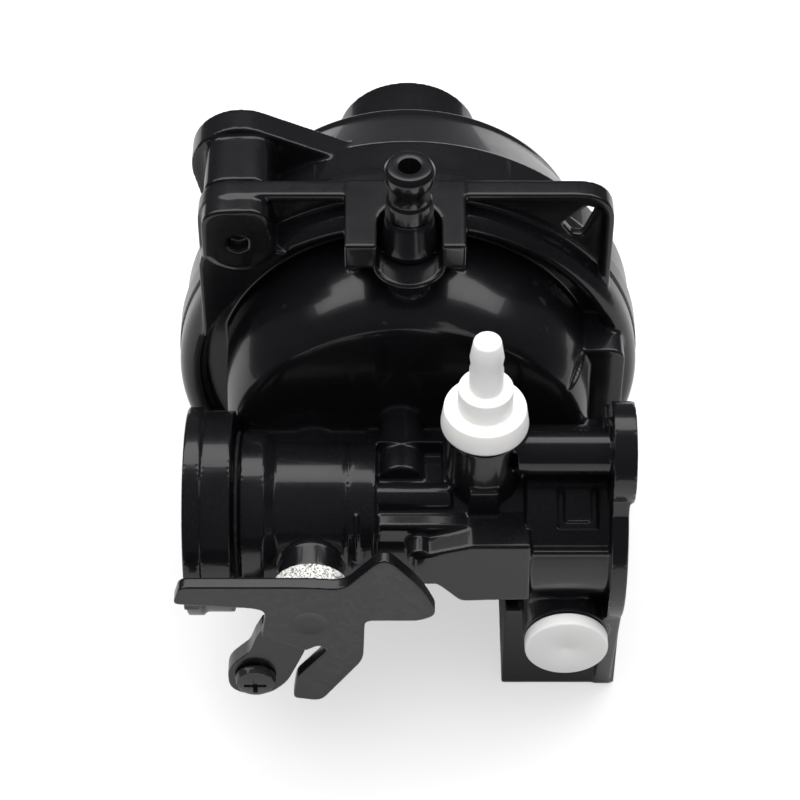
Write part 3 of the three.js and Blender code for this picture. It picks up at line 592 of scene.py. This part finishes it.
def cross(axis, centre, start, end, reach, width):
    """Two crossed bars, to cut a cross recess into a screw's head."""
    u, v = centre
    return [
        prism(axis, [(u - a, v - b), (u + a, v - b), (u + a, v + b), (u - a, v + b)], start, end)
        for a, b in ((width, reach), (reach, width))
    ]


def bowl_screw(name, centre):
    seat = EAR_BACK + GAP
    head = turned("y", centre, [
        (0, seat), (3.8, seat), (3.8, seat + 1.0), (3.4, seat + 1.7), (2.4, seat + 2.2),
        (0, seat + 2.4),
    ])
    shank = rod("y", centre, SCREW_R, DECK_FRONT - 0.4, seat + 0.5)
    piece = carve(name, [head, shank], cross("y", centre, seat + 1.1, seat + 4, 1.7, 0.35))
    return bevelled(piece, 0.12, 2)


def shaft():
    x, z = SHAFT
    stem = rod("y", SHAFT, SHAFT_R, SHAFT_FRONT, SHAFT_BACK)
    cutters = [
        box(x + 0.1, x + 4, -37.6, -21.2, -6, 4),
        box(x - 4, x + 4, SHAFT_FRONT - 1, LEVER_BACK + 0.3, z + 1.7, z + 4),
        box(x - 4, x + 4, SHAFT_FRONT - 1, LEVER_BACK + 0.3, z - 4, z - 1.7),
        rod("x", THROAT, 1.4, x - 4, x + 4),
    ]
    return bevelled(carve("throttle_shaft_fine", [stem], cutters), 0.15, 2)


def felt():
    """A pressed wool washer, fuzzy at its edge."""
    piece = ring("y", SHAFT, SHAFT_BORE, FELT_R - 0.05, FELT_FRONT + 0.05, FELT_BACK - 0.05, 160)
    piece.name = "throttle_felt_fine"
    melt(piece, voxel=0.11, soften=2)
    rng = random.Random(4)
    centre = Vector((SHAFT[0], 0, SHAFT[1]))
    for spot in piece.data.vertices:
        out = Vector((spot.co.x, 0, spot.co.z)) - centre
        if out.length > SHAFT_BORE + 1:
            spot.co += out.normalized() * rng.uniform(-0.09, 0.05)
    return piece


def lever():
    plate = prism("y", rounded([
        (-32.6, 3, 0.9), (-31.6, 6.7, 1.2), (-13.5, 6.7, 3), (-9, 6.2, 2), (-4, 12.5, 1.5),
        (-2.5, 12.4, 1.6), (1.7, 6.7, 3), (4.1, 0.6, 1.8), (1.4, -0.8, 1), (-6.1, -0.8, 1.2),
        (-6.4, -9.8, 1.6), (-12.6, -19.8, 1.4), (-16.6, -19, 0.8), (-16, -14.2, 1),
        (-11.3, -7.4, 0.8), (-12.6, -6.4, 0.8), (-14.4, -7.6), (-20.6, -4.6), (-19.8, 1.2, 1.6),
        (-21.4, 2, 1.5),
    ]), LEVER_FRONT, LEVER_BACK)
    tab = prism("y", rounded([
        (-14.4, -7.9), (-20.5, -3.7), (-21.6, -6.2), (-22.5, -9.2, 0.8), (-25.9, -13.2, 2),
        (-25.8, -18.6, 3), (-20.6, -19.8, 3), (-17.4, -16.4, 1.6), (-14.9, -9.6, 0.5),
    ]), LEVER_FRONT + 0.9, LEVER_BACK + 1.6)
    nub = box(-31.1, -29, LEVER_FRONT + 0.2, LEVER_BACK, 1.5, 3)
    lug = rod("y", (SHAFT[0] + 14.9, SHAFT[1] + 1.9), 1.1, LEVER_BACK - 1, -45.5)
    hub = rod("y", SHAFT, SHAFT_BORE + 1.6, LEVER_FRONT + 0.5, LEVER_BACK)
    drive = carve("drive", [rod("y", SHAFT, SHAFT_BORE, SHAFT_FRONT - GAP, LEVER_BACK + 1)], [
        box(SHAFT[0] - 4, SHAFT[0] + 4, -60, -40, SHAFT[1] + 2, SHAFT[1] + 6),
        box(SHAFT[0] - 4, SHAFT[0] + 4, -60, -40, SHAFT[1] - 6, SHAFT[1] - 2),
    ])
    hole = rod("y", IDLE, IDLE_SHANK + GAP, LEVER_FRONT - 1, -40)
    dimple = turned("y", SHAFT, [
        (0, LEVER_FRONT + 0.3), (1.2, LEVER_FRONT + 0.28), (2, LEVER_FRONT + 0.15),
        (2.6, LEVER_FRONT - 0.02), (2.6, LEVER_FRONT - 1), (0, LEVER_FRONT - 1),
    ])
    piece = carve("throttle_lever_fine", [plate, tab, nub, lug, hub], [drive, dimple, hole])
    return melt(piece, voxel=0.14, soften=3, keep=0.5)


def idle_screw():
    seat = LEVER_FRONT + 0.9 - GAP
    head = turned("y", IDLE, [
        (0, seat - 1.5), (IDLE_HEAD - 0.9, seat - 1.45), (IDLE_HEAD - 0.3, seat - 1.1),
        (IDLE_HEAD, seat - 0.5), (IDLE_HEAD, seat), (0, seat),
    ])
    shank = turned("y", IDLE, [
        (0, seat - 0.5), (IDLE_SHANK, seat - 0.5), (IDLE_SHANK, -45.6), (0.6, -44.9), (0, -44.9),
    ])
    recess = cross("y", IDLE, seat - 4, seat - 0.7, 1.6, 0.32)
    piece = carve("idle_speed_screw_fine", [head, shank], recess)
    return bevelled(piece, 0.1, 2)


# ---- materials --------------------------------------------------------------------------

def surface(name, **values):
    """A material with its shader's sockets set. Returns it, its node tree and its shader."""
    material = bpy.data.materials.new(name)
    material.use_nodes = True
    tree = material.node_tree
    shader = tree.nodes["Principled BSDF"]
    for socket, value in values.items():
        shader.inputs[socket.replace("_", " ")].default_value = value
    return material, tree, shader


def grain(tree, size, detail=3.0, stretch=(1, 1, 1)):
    """Noise on the piece's own coordinates, with spots of about that size in millimetres."""
    where = tree.nodes.new("ShaderNodeTexCoord")
    scale = tree.nodes.new("ShaderNodeMapping")
    scale.inputs["Scale"].default_value = stretch
    noise = tree.nodes.new("ShaderNodeTexNoise")
    noise.inputs["Scale"].default_value = 1 / (size * MM)
    noise.inputs["Detail"].default_value = detail
    tree.links.new(where.outputs["Object"], scale.inputs["Vector"])
    tree.links.new(scale.outputs["Vector"], noise.inputs["Vector"])
    return noise.outputs["Fac"]


def cells(tree, size):
    where = tree.nodes.new("ShaderNodeTexCoord")
    pores = tree.nodes.new("ShaderNodeTexVoronoi")
    pores.inputs["Scale"].default_value = 1 / (size * MM)
    tree.links.new(where.outputs["Object"], pores.inputs["Vector"])
    return pores.outputs["Distance"]


def spread(tree, value, low, high, start=0.3, end=0.7):
    """Maps a noise value's usual span onto low to high."""
    scale = tree.nodes.new("ShaderNodeMapRange")
    scale.inputs["From Min"].default_value = start
    scale.inputs["From Max"].default_value = end
    scale.inputs["To Min"].default_value = low
    scale.inputs["To Max"].default_value = high
    tree.links.new(value, scale.inputs["Value"])
    return scale.outputs["Result"]


def blend(tree, factor, first, second):
    """A colour between two others, each a colour or another node's output."""
    mix = tree.nodes.new("ShaderNodeMix")
    mix.data_type = "RGBA"
    tree.links.new(factor, mix.inputs["Factor"])
    for socket, colour in (("A", first), ("B", second)):
        target = next(s for s in mix.inputs if s.name == socket and s.type == "RGBA")
        if isinstance(colour, tuple):
            target.default_value = (*colour, 1)
        else:
            tree.links.new(colour, target)
    return next(s for s in mix.outputs if s.type == "RGBA")


def relief(tree, height, depth, under=None):
    """A bump of that depth in millimetres, on top of another one if it is given."""
    bump = tree.nodes.new("ShaderNodeBump")
    bump.inputs["Distance"].default_value = depth * MM
    tree.links.new(height, bump.inputs["Height"])
    if under:
        tree.links.new(under, bump.inputs["Normal"])
    return bump.outputs["Normal"]


def painted_edge_highlight(tree, start, end):
    """A mask for a painted highlight: 0 on flats and in corners, rising to 1 on the sharpest outer
    edges.
    """
    geometry = tree.nodes.new("ShaderNodeNewGeometry")
    return spread(tree, geometry.outputs["Pointiness"], 0, 1, start, end)


def black_nylon():
    """Glass-filled nylon off a polished mould: satin black, with faint flow marks and flecks."""
    material, tree, shader = surface("black_nylon_moulded", Specular_IOR_Level=0.5,
                                     Coat_Weight=0.5, Coat_Roughness=0.06)
    flow = spread(tree, grain(tree, 14, 4, (1, 1.6, 1)), 0, 1)
    flecks = spread(tree, grain(tree, 0.22, 2), 0, 1, 0.55, 0.75)
    ground = blend(tree, flow, (0.0035, 0.0035, 0.0042), (0.0055, 0.0055, 0.0066))
    flecked = blend(tree, flecks, ground, (0.011, 0.011, 0.0125))
    # painted highlight: the sharpest outer edges are lightened towards grey to stand in for light
    # catching them
    edge_highlight_mask = painted_edge_highlight(tree, 0.56, 0.68)
    colour = blend(tree, edge_highlight_mask, flecked, (0.018, 0.018, 0.02))
    tree.links.new(colour, shader.inputs["Base Color"])
    tree.links.new(spread(tree, grain(tree, 3.5, 5), 0.2, 0.26), shader.inputs["Roughness"])
    sink = relief(tree, grain(tree, 9, 2), 0.008)
    tree.links.new(relief(tree, grain(tree, 0.5, 4), 0.0025, sink), shader.inputs["Normal"])
    return material


def white_nylon():
    """Natural nylon: milky, a little see-through at its edges."""
    material, tree, shader = surface("white_nylon_natural", Subsurface_Weight=0.3,
                                     Subsurface_Radius=(1, 0.85, 0.7), Subsurface_Scale=0.0012)
    tint = spread(tree, grain(tree, 5), 0, 1)
    tree.links.new(blend(tree, tint, (0.93, 0.925, 0.9), (0.96, 0.955, 0.94)),
                   shader.inputs["Base Color"])
    tree.links.new(spread(tree, grain(tree, 1.2), 0.34, 0.46), shader.inputs["Roughness"])
    tree.links.new(relief(tree, grain(tree, 0.35), 0.006), shader.inputs["Normal"])
    return material


def rubber():
    material, tree, shader = surface("rubber_nitrile", Specular_IOR_Level=0.35)
    dust = spread(tree, grain(tree, 0.9, 5), 0, 1, 0.45, 0.75)
    tree.links.new(blend(tree, dust, (0.008, 0.008, 0.009), (0.018, 0.018, 0.02)),
                   shader.inputs["Base Color"])
    tree.links.new(spread(tree, grain(tree, 0.6), 0.5, 0.75), shader.inputs["Roughness"])
    tree.links.new(relief(tree, grain(tree, 0.2), 0.01), shader.inputs["Normal"])
    return material


def metal(name, light, dark, shine):
    """Turned or plated metal with fine tool marks."""
    material, tree, shader = surface(name, Metallic=1.0)
    marks = grain(tree, 0.35, 4, (1, 6, 1))
    tree.links.new(blend(tree, spread(tree, grain(tree, 1.5), 0, 1), light, dark),
                   shader.inputs["Base Color"])
    tree.links.new(spread(tree, marks, shine, shine + 0.16), shader.inputs["Roughness"])
    tree.links.new(relief(tree, marks, 0.006), shader.inputs["Normal"])
    return material


def foam():
    """Closed-cell float foam with a skin of small pores."""
    material, tree, shader = surface("foam_closed_cell", Specular_IOR_Level=0.3)
    pores = cells(tree, 0.45)
    tree.links.new(blend(tree, spread(tree, pores, 0, 1, 0.1, 0.7), (0.03, 0.028, 0.025),
                         (0.085, 0.08, 0.072)), shader.inputs["Base Color"])
    tree.links.new(spread(tree, grain(tree, 0.5), 0.75, 0.95), shader.inputs["Roughness"])
    tree.links.new(relief(tree, pores, 0.08), shader.inputs["Normal"])
    return material


def wool():
    """Pressed white wool with grey fibres through it."""
    material, tree, shader = surface("felt_pressed_wool", Specular_IOR_Level=0.2,
                                     Sheen_Weight=0.4, Sheen_Roughness=0.5)
    fibres = grain(tree, 0.28, 6, (1, 1, 0.5))
    colour = blend(tree, spread(tree, fibres, 0, 1, 0.38, 0.56), (0.08, 0.078, 0.07),
                   (0.7, 0.69, 0.66))
    tree.links.new(colour, shader.inputs["Base Color"])
    tree.links.new(spread(tree, fibres, 0.85, 1.0), shader.inputs["Roughness"])
    tree.links.new(relief(tree, fibres, 0.14), shader.inputs["Normal"])
    return material


BLACK, WHITE, RUBBER, FOAM, WOOL = black_nylon(), white_nylon(), rubber(), foam(), wool()
STEEL = metal("steel_plated", (0.62, 0.62, 0.63), (0.46, 0.46, 0.48), 0.24)
BRASS = metal("brass_turned", (0.80, 0.60, 0.26), (0.66, 0.47, 0.19), 0.2)

# ---- the assembly ---------------------------------------------------------------------


def place(piece, node, rides_on, slot, material, sharp=None):
    """Moves a finished piece into the frame, in place of a CAD node."""
    piece.data.transform(PLACE)
    piece.data.shade_smooth()
    if sharp:
        piece.data.set_sharp_from_angle(angle=math.radians(sharp))
    piece.data.materials.clear()
    piece.data.materials.append(material)
    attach(piece, rides_on)
    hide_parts(node)


def dress(node, material, edge):
    """Gives a CAD node that stays its material and an edge softened by that many millimetres."""
    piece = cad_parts[node]
    piece.data.materials.clear()
    piece.data.materials.append(material)
    soft = piece.modifiers.new("edge", "BEVEL")
    soft.width = edge * MM
    soft.segments = 2
    soft.limit_method = "ANGLE"
    soft.angle_limit = math.radians(40)


place(body(), "carburettor_body", "housing", "black_nylon", BLACK)
place(bowl(), "float_bowl", "housing", "black_nylon", BLACK)
place(fuel_inlet(), "fuel_inlet_barb", "housing", "black_nylon", BLACK, 35)
place(pilot_insert(), "pilot_jet_insert", "housing", "white_nylon", WHITE, 35)
place(port_plug(), "port_plug", "housing", "white_nylon", WHITE, 35)
place(spigot_seal(), "spigot_seal", "housing", "rubber", RUBBER)
place(felt(), "throttle_felt", "housing", "felt", WOOL)
for screw_name, corner in zip(("bowl_screw_upper", "bowl_screw_lower"), CORNERS):
    place(bowl_screw(screw_name + "_fine", corner), screw_name, "housing", "steel", STEEL, 35)
place(lever(), "throttle_lever", "throttle", "black_nylon", BLACK)
place(shaft(), "throttle_shaft", "throttle", "black_nylon", BLACK, 35)
place(idle_screw(), "idle_speed_screw", "idle_screw", "black_nylon", BLACK, 35)

for node, material in (
    ("bowl_seal", RUBBER), ("pilot_jet_seal", RUBBER), ("needle_seat", BRASS),
    ("emulsion_tube", BRASS), ("main_jet", BRASS), ("inlet_needle", STEEL),
    ("float_hinge_pin", STEEL), ("throttle_plate", STEEL), ("throttle_plate_screw", STEEL),
    ("float", FOAM),
):
    dress(node, material, 0.1)

# ---- floor, light and camera ----------------------------------------------------------

FLOOR_SIDE = 0.44
FLOOR_DROP = 0.00003  # keeps the floor clear of the base
TARGET = PLACE @ Vector((-1.2, -4.84, -4.36))
CAMERA_ELEVATION = 48
CAMERA_DISTANCE = 0.4
CAMERA_LENS = 118.8


def ground():
    """Pale paper that lets some of the white background through."""
    half = FLOOR_SIDE / 2
    corners = ((-half, -half), (half, -half), (half, half), (-half, half))
    floor = mesh_object("floor", lambda work: work.faces.new(
        [work.verts.new((x, y, -FLOOR_DROP)) for x, y in corners]))
    material, tree, shader = surface("floor_paper", Specular_IOR_Level=0.1, Alpha=0.42)
    tree.links.new(blend(tree, spread(tree, grain(tree, 40), 0, 1), (0.88, 0.88, 0.885),
                         (0.9, 0.9, 0.9)), shader.inputs["Base Color"])
    tree.links.new(spread(tree, grain(tree, 8), 0.85, 0.95), shader.inputs["Roughness"])
    floor.data.materials.append(material)


def softbox(name, azimuth, elevation, distance, width, height, radiance, in_reflections=True):
    """A rectangular light that faces the target. Azimuth 0 is in front and 180 behind."""
    data = bpy.data.lights.new(name, "AREA")
    data.shape = "RECTANGLE"
    data.size, data.size_y = width, height
    data.energy = radiance * math.pi * width * height
    light = bpy.data.objects.new(name, data)
    bpy.context.collection.objects.link(light)
    turn, rise = math.radians(azimuth), math.radians(elevation)
    towards = Vector((
        math.sin(turn) * math.cos(rise), -math.cos(turn) * math.cos(rise), math.sin(rise)))
    light.location = TARGET + towards * distance
    light.rotation_euler = towards.to_track_quat("Z", "Y").to_euler()
    light.visible_glossy = in_reflections


def studio():
    """A softbox behind, a ceiling that only the shading sees, and a dim room on white paper."""
    softbox("softbox_behind", 180, 66, 0.8, 1.9, 0.46, 1.8)
    softbox("ceiling", 0, 89, 1.3, 2.4, 2.4, 2.9, in_reflections=False)
    world = bpy.data.worlds.new("studio")
    world.use_nodes = True
    tree = world.node_tree
    shade = tree.nodes["Background"]
    shade.inputs["Color"].default_value = (0.06, 0.06, 0.065, 1)
    paper = tree.nodes.new("ShaderNodeBackground")
    paper.inputs["Color"].default_value = (1, 1, 1, 1)
    rays = tree.nodes.new("ShaderNodeLightPath")
    choose = tree.nodes.new("ShaderNodeMixShader")
    tree.links.new(rays.outputs["Is Camera Ray"], choose.inputs[0])
    tree.links.new(shade.outputs["Background"], choose.inputs[1])
    tree.links.new(paper.outputs["Background"], choose.inputs[2])
    tree.links.new(choose.outputs["Shader"], tree.nodes["World Output"].inputs["Surface"])
    bpy.context.scene.world = world
    bpy.context.scene.view_settings.view_transform = "Standard"


def camera():
    data = bpy.data.cameras.new("camera")
    data.lens = CAMERA_LENS
    data.sensor_width = 36
    data.clip_start = 0.01
    eye = bpy.data.objects.new("camera", data)
    bpy.context.collection.objects.link(eye)
    rise = math.radians(CAMERA_ELEVATION)
    eye.location = TARGET + CAMERA_DISTANCE * Vector((0, -math.cos(rise), math.sin(rise)))
    eye.rotation_euler = (math.radians(90 - CAMERA_ELEVATION), 0, 0)
    bpy.context.scene.camera = eye


ground()
studio()
camera()
